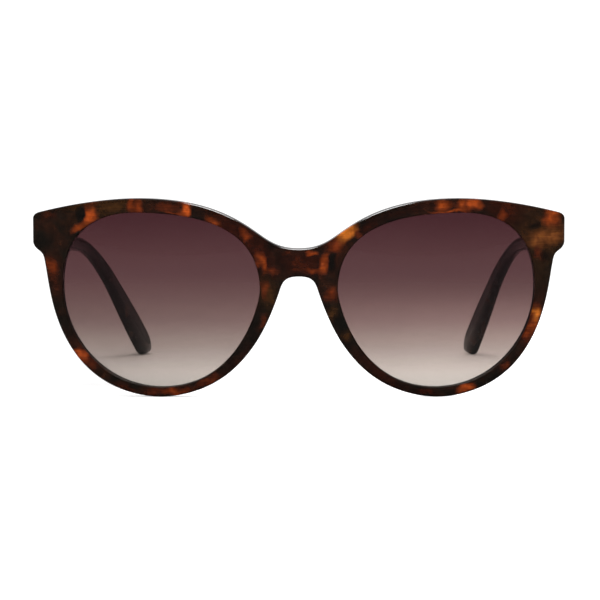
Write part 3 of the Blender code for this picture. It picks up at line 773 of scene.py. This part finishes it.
def temple_hinge(name, side):
    """The leaf in the temple, with its foot and its two barrels."""
    start, end, half_height = TEMPLE_LEAF
    inner = TEMPLE_INNER_X
    low = (inner, start, -half_height)
    high = (inner + LEAF_THICKNESS, end, half_height)
    plate = drawn(name, side, lambda bm: leaf(bm, low, high, 0))
    foot_low = (inner + LEAF_THICKNESS / 2, FOOT[0], -FOOT[2])
    foot_high = (inner + LEAF_THICKNESS + FOOT_DEPTH, FOOT[1], FOOT[2])
    foot = drawn("foot", side, lambda bm: block(bm, foot_low, foot_high))
    web = ((WEB_STOP, -WEB_HALF_WIDTH), (inner + LEAF_THICKNESS / 2, WEB_HALF_WIDTH))
    return carved(plate, [("UNION", foot)] + knuckles(TEMPLE_BARRELS, web, side))


def hinge_screw(name, side):
    """A shank under a domed, slotted head."""
    bottom = FRONT_BARRELS[0][0]
    seat = FRONT_BARRELS[-1][1] + POCKET_GAP
    shank = [
        (0.0, bottom),
        (SCREW_RADIUS - SCREW_END_CHAMFER, bottom),
        (SCREW_RADIUS, bottom + SCREW_END_CHAMFER),
        (SCREW_RADIUS, seat),
    ]
    profile = shank + [(radius, seat + height) for radius, height in SCREW_HEAD]
    made = drawn(name, side, lambda bm: turned(bm, profile))
    length, width = SCREW_SLOT
    low = (-length / 2, -width / 2, seat + SCREW_SLOT_FLOOR)
    high = (length / 2, width / 2, profile[-1][1] + OVERCUT)
    cut = drawn("slot", side, lambda bm: block(bm, low, high))
    return carved(made, [("DIFFERENCE", cut)])


def washer(name, side, which):
    """A flat ring round the screw with broken outer edges."""
    low, high = WASHERS[which]
    cut = WASHER_CHAMFER
    profile = [
        (BORE_RADIUS, low),
        (WASHER_RADIUS - cut, low),
        (WASHER_RADIUS, low + cut),
        (WASHER_RADIUS, high - cut),
        (WASHER_RADIUS - cut, high),
        (BORE_RADIUS, high),
    ]

    def draw(bm):
        rings = turned(bm, profile)
        wall(bm, rings[-1], rings[0])

    return drawn(name, side, draw)


# ---- temples ----


def smooth(a, b, share):
    """From a to b, with a gentle start and end."""
    share = max(0.0, min(1.0, share))
    return a + (b - a) * share * share * (3 - 2 * share)


START_Y = MITRE_Y + MITRE_GAP
RISE = math.atan2(ELBOW_Z, ELBOW_Y - START_Y)
ARC = ELBOW_RADIUS * math.radians(TIP_DROP)
TANGENT = ELBOW_RADIUS * math.tan(math.radians(TIP_DROP) / 2)
STRAIGHT = math.hypot(ELBOW_Y - START_Y, ELBOW_Z) - TANGENT
TEMPLE_LENGTH = STRAIGHT + ARC + TIP_LENGTH - TANGENT
WIRE_END = TEMPLE_LENGTH - WIRE_TIP_MARGIN


def temple_path(distance):
    """Centre and heading of the temple, in the hinge's YZ plane, this far from the mitre."""
    ahead = Vector((math.cos(RISE), math.sin(RISE)))
    place = Vector((START_Y, 0)) + ahead * min(distance, STRAIGHT)
    if distance <= STRAIGHT:
        return place, RISE
    heading = RISE - min((distance - STRAIGHT) / ELBOW_RADIUS, math.radians(TIP_DROP))
    middle = place + ELBOW_RADIUS * Vector((math.sin(RISE), -math.cos(RISE)))
    place = middle + ELBOW_RADIUS * Vector((-math.sin(heading), math.cos(heading)))
    beyond = max(0.0, distance - STRAIGHT - ARC)
    return place + beyond * Vector((math.cos(heading), math.sin(heading))), heading


def waisted(distance, waist, first, narrow, last):
    """A size that shrinks from first to narrow at the waist and grows to last at the ear end."""
    if distance < waist:
        return smooth(first, narrow, distance / waist)
    return smooth(narrow, last, (distance - waist) / (TEMPLE_LENGTH - waist - FLARE_MARGIN))


def temple_height(distance):
    sizes = (TEMPLE_FRONT_HEIGHT, TEMPLE_WAIST_HEIGHT, TIP_HEIGHT)
    return waisted(distance, HEIGHT_WAIST, *sizes)


def temple_thickness(distance):
    sizes = (TEMPLE_THICKNESS, WAIST_THICKNESS, TIP_THICKNESS)
    return waisted(distance, THICKNESS_WAIST, *sizes)


def inward(y, label):
    """How far the temple has come in towards the ear; past the bend it runs straight."""
    travel, power = TEMPLE_BEND[label]
    bent = travel * max(0.0, min(1.0, y / BEND_END_Y)) ** power
    return bent + travel * power * max(0.0, y / BEND_END_Y - 1)


def section(bm, label, distance, half_thick, half_high, corner, steps, relief=0.0):
    """A rounded rectangle across the temple's path, which curves in towards the ear.

    Relief, from 0 to 1, eases its lower inner corner away from the head.
    """
    place, heading = temple_path(distance)
    up = Vector((-math.sin(heading), math.cos(heading)))
    middle = TEMPLE_INNER_X + TEMPLE_THICKNESS / 2 - inward(place.x, label)
    low_outer = corner * (1 - 0.5 * relief)
    eased_x = min(corner + relief * (RELIEF_CORNER[0] - corner), 2 * half_thick - low_outer)
    eased_z = min(corner + relief * (RELIEF_CORNER[1] - corner), 2 * half_high - corner)
    quarters = (
        (1, 1, corner, corner),
        (-1, 1, corner, corner),
        (-1, -1, eased_x, eased_z),
        (1, -1, low_outer, low_outer),
    )
    ring = []
    for quarter, (sx, sz, rx, rz) in enumerate(quarters):
        for i in range(steps + 1):
            angle = math.radians(90.0 * (quarter + i / steps))
            x = sx * (half_thick - rx) + rx * math.cos(angle)
            z = sz * (half_high - rz) + rz * math.sin(angle)
            ring.append(bm.verts.new((middle + x, place.x + up.x * z, place.y + up.y * z)))
    return ring


def closed_loft(bm, rings):
    walls(bm, rings)
    bm.faces.new(rings[0])
    bm.faces.new(rings[-1])


def tip_relief(distance):
    """How far the lower inner corner is eased, growing to full at the end of the temple."""
    return smooth(0.0, 1.0, 1 - (TEMPLE_LENGTH - distance) / RELIEF_LENGTH)


def temple_loft(bm, label):
    """The temple's outside: the rounded edge at the mitre, the long run and the rounded end."""
    round_start = TEMPLE_LENGTH - TIP_HEIGHT / 2
    stations = []
    for i in range(MITRE_STEPS + 1):
        angle = math.radians(90.0 * i / MITRE_STEPS)
        inset = MITRE_ROUND * (1 - math.sin(angle))
        distance = MITRE_ROUND * (1 - math.cos(angle))
        half_thick = TEMPLE_THICKNESS / 2 - inset
        half_high = temple_height(distance) / 2 - inset
        stations.append((distance, half_thick, half_high, TEMPLE_EDGE_ROUND - inset))
    for i in range(1, TEMPLE_STATIONS + 1):
        distance = MITRE_ROUND + (round_start - MITRE_ROUND) * i / TEMPLE_STATIONS
        half_thick = temple_thickness(distance) / 2
        half_high = temple_height(distance) / 2
        corner = smooth(TEMPLE_EDGE_ROUND, TIP_EDGE_ROUND, distance / ELBOW_Y)
        stations.append((distance, half_thick, half_high, corner))
    for i in range(1, TIP_STEPS + 1):
        angle = TIP_STEP_ANGLE * i
        distance = round_start + TIP_HEIGHT / 2 * math.sin(math.radians(angle))
        half_high = TIP_HEIGHT / 2 * math.cos(math.radians(angle))
        half_thick = TIP_THICKNESS / 2 * (1 - TIP_THINNING * (angle / TIP_THINNING_ANGLE) ** 4)
        by_height, by_thickness = TIP_CORNER_SHARES
        corner = min(TIP_EDGE_ROUND, half_high * by_height, half_thick * by_thickness)
        stations.append((distance, half_thick, half_high, corner))
    rings = [section(bm, label, *place, CORNER_STEPS, tip_relief(place[0])) for place in stations]
    closed_loft(bm, rings)


def wire_loft(bm, label, start, end, grow=0.0):
    """The flat wire between two distances along the temple, or its channel when it is grown."""
    first, last = WIRE_HEIGHTS
    half_thick = WIRE_THICKNESS / 2 + grow
    rings = []
    for i in range(WIRE_STATIONS + 1):
        distance = start + (end - start) * i / WIRE_STATIONS
        half_high = (first + (last - first) * i / WIRE_STATIONS) / 2 + grow
        shape = (half_thick, half_high, WIRE_CORNER, WIRE_CORNER_STEPS)
        rings.append(section(bm, label, distance, *shape))
    closed_loft(bm, rings)


def temple(name, label, side):
    """The temple, with the leaf's recess, the foot's slot and the wire's channel cut into it."""
    gap = POCKET_GAP
    inner = TEMPLE_INNER_X
    leaf_end = TEMPLE_LEAF[1] + gap
    leaf_half = TEMPLE_LEAF[2] + gap
    foot_half = FOOT[2] + gap
    leaf_box = (
        (inner - OVERCUT, MITRE_Y - OVERCUT, -leaf_half),
        (inner + LEAF_THICKNESS + gap, leaf_end, leaf_half),
    )
    foot_box = (
        (inner + LEAF_THICKNESS / 2, FOOT[0] - gap, -foot_half),
        (inner + LEAF_THICKNESS + FOOT_DEPTH + gap, FOOT[1] + gap, foot_half),
    )
    tools = []
    for low, high in (leaf_box, foot_box):
        tools.append(("DIFFERENCE", drawn("recess", side, lambda bm: block(bm, low, high))))
    start = WIRE_START - CHANNEL_LEAD
    end = WIRE_END + CHANNEL_END_GAP
    channel = drawn("channel", side, lambda bm: wire_loft(bm, label, start, end, gap))
    tools.append(("DIFFERENCE", channel))
    return carved(drawn(name, side, lambda bm: temple_loft(bm, label)), tools)


# ---- materials ----


class Tree:
    """Short names for adding shader nodes to one material or group."""

    def __init__(self, tree):
        self.tree = tree

    def node(self, kind, inputs=(), **settings):
        made = self.tree.nodes.new("ShaderNode" + kind)
        for name, value in settings.items():
            setattr(made, name, value)
        for key, value in dict(inputs).items():
            self.feed(made.inputs[key], value)
        return made

    def feed(self, socket, value):
        if isinstance(value, bpy.types.NodeSocket):
            self.tree.links.new(value, socket)
        elif socket.type == "RGBA" and len(value) == 3:
            socket.default_value = (*value, 1.0)
        else:
            socket.default_value = value

    def math(self, operation, a, b=0.0):
        return self.node("Math", {0: a, 1: b}, operation=operation).outputs[0]

    def vector(self, operation, a, b=(0.0, 0.0, 0.0)):
        made = self.node("VectorMath", {0: a, 1: b}, operation=operation)
        return made.outputs["Value" if operation in ("DOT_PRODUCT", "LENGTH") else "Vector"]

    def place(self, stretch=(1.0, 1.0, 1.0)):
        """Millimetres in the row frame, stretched."""
        point = self.node("TexCoord").outputs["Object"]
        return self.vector("MULTIPLY", point, [s / MM for s in stretch])

    def noise(self, vector, scale, detail=2.0, roughness=0.5, output="Fac"):
        inputs = {"Vector": vector, "Scale": scale, "Detail": detail, "Roughness": roughness}
        return self.node("TexNoise", inputs).outputs[output]

    def remap(self, value, low, high, to_low=0.0, to_high=1.0):
        inputs = {0: value, 1: low, 2: high, 3: to_low, 4: to_high}
        return self.node("MapRange", inputs, interpolation_type="SMOOTHSTEP").outputs[0]

    def drift(self, place, scale, amount):
        """A slow wandering, at most half the amount each way."""
        cloud = self.noise(place, scale, output="Color")
        return self.vector("MULTIPLY", self.vector("SUBTRACT", cloud, (0.5, 0.5, 0.5)), amount)

    def mix(self, share, a, b):
        return self.node("Mix", {0: share, 6: a, 7: b}, data_type="RGBA").outputs[2]

    def ramp(self, value, stops):
        made = self.node("ValToRGB", {0: value})
        elements = made.color_ramp.elements
        while len(elements) < len(stops):
            elements.new(0.5)
        for element, (position, colour) in zip(elements, stops):
            element.position = position
            element.color = (*colour, 1.0)
        return made.outputs[0]

    def bump(self, height, distance):
        inputs = {"Height": height, "Distance": distance * MM, "Strength": 1.0}
        return self.node("Bump", inputs).outputs[0]


def new_material(name):
    """A new material, its Tree and its Principled node."""
    made = bpy.data.materials.new(name)
    made.use_nodes = True
    return made, Tree(made.node_tree), made.node_tree.nodes["Principled BSDF"]


def patch_group():
    """Lays one soft-edged patch, a rounded rectangle seen along Y, over a colour."""
    group = bpy.data.node_groups.new("acetate_patch", "ShaderNodeTree")
    for name, kind in (
        ("Place", "Vector"),
        ("Under", "Color"),
        ("Centre", "Vector"),
        ("Size", "Vector"),
        ("Turn", "Float"),
        ("Edge", "Float"),
        ("Colour", "Color"),
        ("Strength", "Float"),
    ):
        group.interface.new_socket(name, in_out="INPUT", socket_type="NodeSocket" + kind)
    group.interface.new_socket("Result", in_out="OUTPUT", socket_type="NodeSocketColor")
    given = group.nodes.new("NodeGroupInput").outputs
    t = Tree(group)
    away = t.vector("SUBTRACT", given["Place"], given["Centre"])
    inputs = {"Vector": away, "Angle": given["Turn"]}
    away = t.node("VectorRotate", inputs, rotation_type="Y_AXIS").outputs[0]
    share = t.vector("DIVIDE", away, given["Size"])
    square = t.vector("MULTIPLY", share, share)
    boxy = t.math("SQRT", t.math("SQRT", t.vector("DOT_PRODUCT", square, square)))
    reach = t.math("MULTIPLY", t.math("ADD", boxy, t.vector("LENGTH", share)), 0.5)
    blur = t.math("MULTIPLY", given["Edge"], PATCH_BLUR)
    inside = t.math("SUBTRACT", 1.0, blur)
    outside = t.math("ADD", 1.0, blur)
    cover = t.remap(reach, inside, outside, 1.0, 0.0)
    cover = t.math("MULTIPLY", cover, given["Strength"])
    fringe = t.vector("MULTIPLY", given["Colour"], FRINGE)
    edged = t.mix(cover, given["Under"], fringe)
    core = t.math("MULTIPLY", cover, cover)
    result = group.nodes.new("NodeGroupOutput")
    t.feed(result.inputs[0], t.mix(core, edged, given["Colour"]))
    return group


def tortoise():
    """Polished tortoise acetate: patches of amber and rust in near-black brown."""
    made, t, surface = new_material("tortoise_acetate")
    place = t.place()
    warped = t.vector("ADD", place, t.drift(place, 0.28, (3.0, 0.0, 3.0)))
    fibre = t.noise(t.place((0.22, 0.35, 2.6)), 1.0, 3.0, 0.6)
    cloud = t.noise(place, 0.13, 4.0, 0.6)
    colour = t.ramp(
        cloud,
        (
            (0.38, (0.0050, 0.0042, 0.0028)),
            (0.52, (0.0085, 0.0050, 0.0032)),
            (0.64, (0.020, 0.0068, 0.0034)),
            (0.76, (0.038, 0.0125, 0.0050)),
        ),
    )
    group = patch_group()
    for name, u, v, half_u, half_v, turn, edge, strength in PATCHES:
        node = t.node("Group", node_tree=group)
        centre = bend(u, v, 0.0)
        for key, value in {
            "Place": warped,
            "Under": colour,
            "Centre": (centre.x, 0.0, centre.z),
            "Size": (half_u, 1e5, half_v),
            "Turn": math.radians(turn),
            "Edge": edge,
            "Colour": PALETTE[name],
            "Strength": strength,
        }.items():
            t.feed(node.inputs[key], value)
        colour = node.outputs[0]
    shade = t.remap(t.noise(place, 0.55, 2.5, 0.6), 0.3, 0.7, 0.66, 1.2)
    shade = t.math("MULTIPLY", shade, t.remap(fibre, 0.3, 0.7, 0.78, 1.18))
    shaded = t.node("VectorMath", {0: colour, "Scale": shade}, operation="SCALE")
    t.feed(surface.inputs["Base Color"], shaded.outputs["Vector"])
    polish = t.noise(place, 0.9, 3.0)
    t.feed(surface.inputs["Roughness"], t.remap(polish, 0.3, 0.7, 0.08, 0.17))
    surface.inputs["IOR"].default_value = ACETATE_IOR
    t.feed(surface.inputs["Normal"], t.bump(t.noise(place, 0.5, 2.0), 0.02))
    return made


def dark_acetate():
    """Temple acetate: near black, with olive and red-brown marbling drawn out along the temple."""
    made, t, surface = new_material("temple_acetate")
    drift = t.drift(t.place(), 0.10, (4.0, 4.0, 4.0))
    place = t.vector("ADD", t.place((1.0, 0.35, 0.6)), drift)
    cloud = t.noise(place, 0.30, 3.0, 0.55)
    colour = t.ramp(
        cloud,
        (
            (0.30, (0.060, 0.030, 0.018)),
            (0.42, (0.0040, 0.0060, 0.0036)),
            (0.52, (0.0030, 0.0034, 0.0026)),
            (0.60, (0.020, 0.018, 0.011)),
            (0.70, (0.090, 0.045, 0.022)),
        ),
    )
    t.feed(surface.inputs["Base Color"], colour)
    polish = t.noise(t.place(), 0.8, 3.0)
    t.feed(surface.inputs["Roughness"], t.remap(polish, 0.3, 0.7, 0.07, 0.15))
    surface.inputs["IOR"].default_value = ACETATE_IOR
    t.feed(surface.inputs["Normal"], t.bump(t.noise(t.place(), 0.4, 2.0), 0.02))
    return made


def tinted_lens():
    """A see-through lens, dark at the brow and pale at the bottom, that mirrors by its angle."""
    made, t, surface = new_material("gradient_lens")
    low = cad_box[0].z / MM
    span = LENS_TINT[-1][0] - low
    height = t.node("SeparateXYZ", {0: t.place()}).outputs[2]
    wander = t.math("SUBTRACT", t.noise(t.place(), 0.05, 1.0), 0.5)
    waver = t.math("MULTIPLY", wander, LENS_WAVER)
    share = t.math("DIVIDE", t.math("ADD", t.math("SUBTRACT", height, low), waver), span)
    stops = [((z - low) / span, [c**0.5 for c in colour]) for z, colour in LENS_TINT]
    clear = t.node("BsdfTransparent", {0: t.ramp(share, stops)})
    surface.inputs["Base Color"].default_value = (0.9, 0.9, 0.9, 1.0)
    surface.inputs["Metallic"].default_value = 1.0
    polish = t.noise(t.place(), 0.3, 2.0)
    t.feed(surface.inputs["Roughness"], t.remap(polish, 0.3, 0.7, 0.015, 0.04))
    facing = t.node("LayerWeight", {"Blend": 0.5}).outputs["Facing"]
    mirror = t.remap(t.math("POWER", facing, 5.0), 0.0, 1.0, LENS_MIRROR, 1.0)
    both = t.node("MixShader", {0: mirror, 1: clear.outputs[0], 2: surface.outputs[0]})
    dust = t.node("BsdfDiffuse", {"Color": (1.0, 1.0, 1.0)})
    hazy = t.node("MixShader", {0: LENS_HAZE, 1: both.outputs[0], 2: dust.outputs[0]})
    t.feed(made.node_tree.nodes["Material Output"].inputs["Surface"], hazy.outputs[0])
    return made


def metal(name, colour, roughness, grain, depth):
    """Bare metal with fine lines; grain says how many there are along each axis."""
    made, t, surface = new_material(name)
    lines = t.noise(t.place(grain), 1.0, 4.0, 0.7)
    tone = t.mix(t.remap(lines, 0.3, 0.7), [c * 0.72 for c in colour], colour)
    spots = t.remap(t.noise(t.place(), 1.4, 4.0), 0.55, 0.75, 0.0, 0.35)
    t.feed(surface.inputs["Base Color"], t.mix(spots, tone, [c * 0.5 for c in colour]))
    surface.inputs["Metallic"].default_value = 1.0
    wear = t.remap(lines, 0.25, 0.75, roughness * 0.7, roughness * 1.4)
    t.feed(surface.inputs["Roughness"], wear)
    t.feed(surface.inputs["Normal"], t.bump(lines, depth))
    return made


def nylon():
    """Cream nylon, slightly cloudy."""
    made, t, surface = new_material("washer_nylon")
    cloud = t.noise(t.place(), 1.8, 3.0)
    t.feed(surface.inputs["Base Color"], t.mix(cloud, (0.62, 0.58, 0.50), (0.80, 0.77, 0.70)))
    t.feed(surface.inputs["Roughness"], t.remap(cloud, 0.3, 0.7, 0.42, 0.6))
    t.feed(surface.inputs["Normal"], t.bump(t.noise(t.place(), 6.0, 2.0), 0.01))
    return made


def floor_material():
    """White that runs out into the backdrop, with a painted glow to the camera and painted shade
    that keeps it dim to the polished edges of the front.
    """
    made, t, surface = new_material("floor")
    path = t.node("LightPath").outputs
    grain = t.noise(t.place(), 0.02, 2.0)
    white = t.mix(grain, (0.84, 0.84, 0.84), (0.88, 0.88, 0.88))
    across, back, _ = t.node("SeparateXYZ", {0: t.place()}).outputs
    # Painted shade: near the front the floor turns dark to glossy rays only, so the polished edges
    # of the front reflect no white
    dim = t.math("MULTIPLY", t.remap(back, *FLOOR_PAINTED_SHADE, 1.0, 0.0), path["Is Glossy Ray"])
    t.feed(surface.inputs["Base Color"], t.mix(dim, white, FLOOR_PAINTED_SHADE_COLOUR))
    surface.inputs["Roughness"].default_value = 0.9
    surface.inputs["Specular IOR Level"].default_value = 0.0
    surface.inputs["Emission Color"].default_value = (1.0, 1.0, 1.0, 1.0)
    # Painted glow: light the floor gives to the camera only, brighter to the right and towards the
    # front, so the contact shadows under the front are washed out
    glow = t.math("ADD", t.remap(across, *PAINTED_GLOW_ACROSS), t.remap(back, *PAINTED_GLOW_BACK))
    t.feed(surface.inputs["Emission Strength"], t.math("MULTIPLY", path["Is Camera Ray"], glow))
    far = t.remap(t.vector("LENGTH", t.place()), *FLOOR_FADE)
    far = t.math("MULTIPLY", far, path["Is Camera Ray"])
    bright = t.node("Emission", {"Strength": BACKDROP})
    both = t.node("MixShader", {0: far, 1: surface.outputs[0], 2: bright.outputs[0]})
    t.feed(made.node_tree.nodes["Material Output"].inputs["Surface"], both.outputs[0])
    return made


# ---- studio ----


def floor():
    bm = bmesh.new()
    bmesh.ops.create_grid(bm, x_segments=8, y_segments=8, size=FLOOR_SIZE / 2)
    bmesh.ops.translate(bm, vec=(0, 0, cad_box[0].z / MM - FLOOR_GAP), verts=bm.verts)
    made = solid("floor", bm)
    made.data.materials.append(floor_material())


def lights():
    for name, place, target, size, watts, task in LIGHTS:
        data = bpy.data.lights.new(name, "AREA")
        data.shape = "DISK"
        data.size = size * MM
        data.energy = watts
        made = bpy.data.objects.new(name, data)
        bpy.context.scene.collection.objects.link(made)
        made.location = Vector(place) * MM
        aim = Vector(target) - Vector(place)
        made.rotation_euler = aim.to_track_quat("-Z", "Y").to_euler()
        made.visible_diffuse = task == "lights"
        made.visible_glossy = task == "reflects"
        made.visible_camera = False


def backdrop():
    """White to the camera; for the rest a room that is dim in front and pale behind and above."""
    world = bpy.data.worlds.new("studio")
    world.use_nodes = True
    t = Tree(world.node_tree)
    direction = t.node("SeparateXYZ", {0: t.node("TexCoord").outputs["Generated"]}).outputs
    behind = t.remap(direction[1], 0.1, 0.95, ROOM_FRONT, ROOM_BEHIND)
    above = t.remap(direction[2], 0.2, 1.0, 0.0, ROOM_ABOVE)
    level = t.math("ADD", behind, above)
    room = t.node("CombineXYZ", {0: level, 1: level, 2: level}).outputs[0]
    seen = t.node("LightPath").outputs["Is Camera Ray"]
    white = (BACKDROP, BACKDROP, BACKDROP)
    background = world.node_tree.nodes["Background"]
    t.feed(background.inputs["Color"], t.mix(seen, room, white))
    bpy.context.scene.world = world


def camera():
    data = bpy.data.cameras.new("camera")
    data.lens = CAMERA_LENS
    data.shift_x, data.shift_y = CAMERA_SHIFT
    data.clip_end = 100.0
    made = bpy.data.objects.new("camera", data)
    bpy.context.scene.collection.objects.link(made)
    low, high = cad_box
    made.location = (
        (low.x + high.x) / 2,
        low.y - CAMERA_BEHIND * MM,
        low.z + CAMERA_HEIGHT * MM,
    )
    made.rotation_euler = (math.radians(90.0 - CAMERA_PITCH), 0.0, 0.0)
    bpy.context.scene.camera = made


def glasses():
    acetate = tortoise()
    dark = dark_acetate()
    glass = tinted_lens()
    steel = metal("hinge_steel", (0.62, 0.60, 0.57), 0.25, (9.0, 9.0, 1.2), 0.004)
    wire = metal("wire_steel", (0.55, 0.54, 0.52), 0.32, (5.0, 0.15, 5.0), 0.006)
    white = nylon()
    show(front(), "front_frame", "front", acetate)
    for label, side in (("right", 1), ("left", -1)):
        body = "temple_" + label
        show(lens("tinted_lens_" + label, side), "lens_" + label, "front", glass)
        show(nose_pad("pad_" + label, side), "nose_pad_" + label, "front", acetate)
        leaf_in_lug = front_hinge("front_leaf_" + label, side)
        show(leaf_in_lug, "hinge_front_" + label, "front", steel)
        leaf_in_temple = temple_hinge("temple_leaf_" + label, side)
        show(leaf_in_temple, "hinge_temple_" + label, body, steel)
        screw = hinge_screw("screw_" + label, side)
        show(screw, "hinge_screw_" + label, "front", steel)
        for which in WASHERS:
            name = which + "_" + label
            ring = washer("washer_" + name, side, which)
            show(ring, "hinge_washer_" + name, "front", white)
        show(temple("arm_" + label, label, side), "temple_" + label, body, dark)
        core = drawn("wire_" + label, side, lambda bm: wire_loft(bm, label, WIRE_START, WIRE_END))
        show(core, "core_wire_" + label, body, wire)


bpy.context.scene.view_settings.view_transform = "Standard"
glasses()
floor()
lights()
backdrop()
camera()
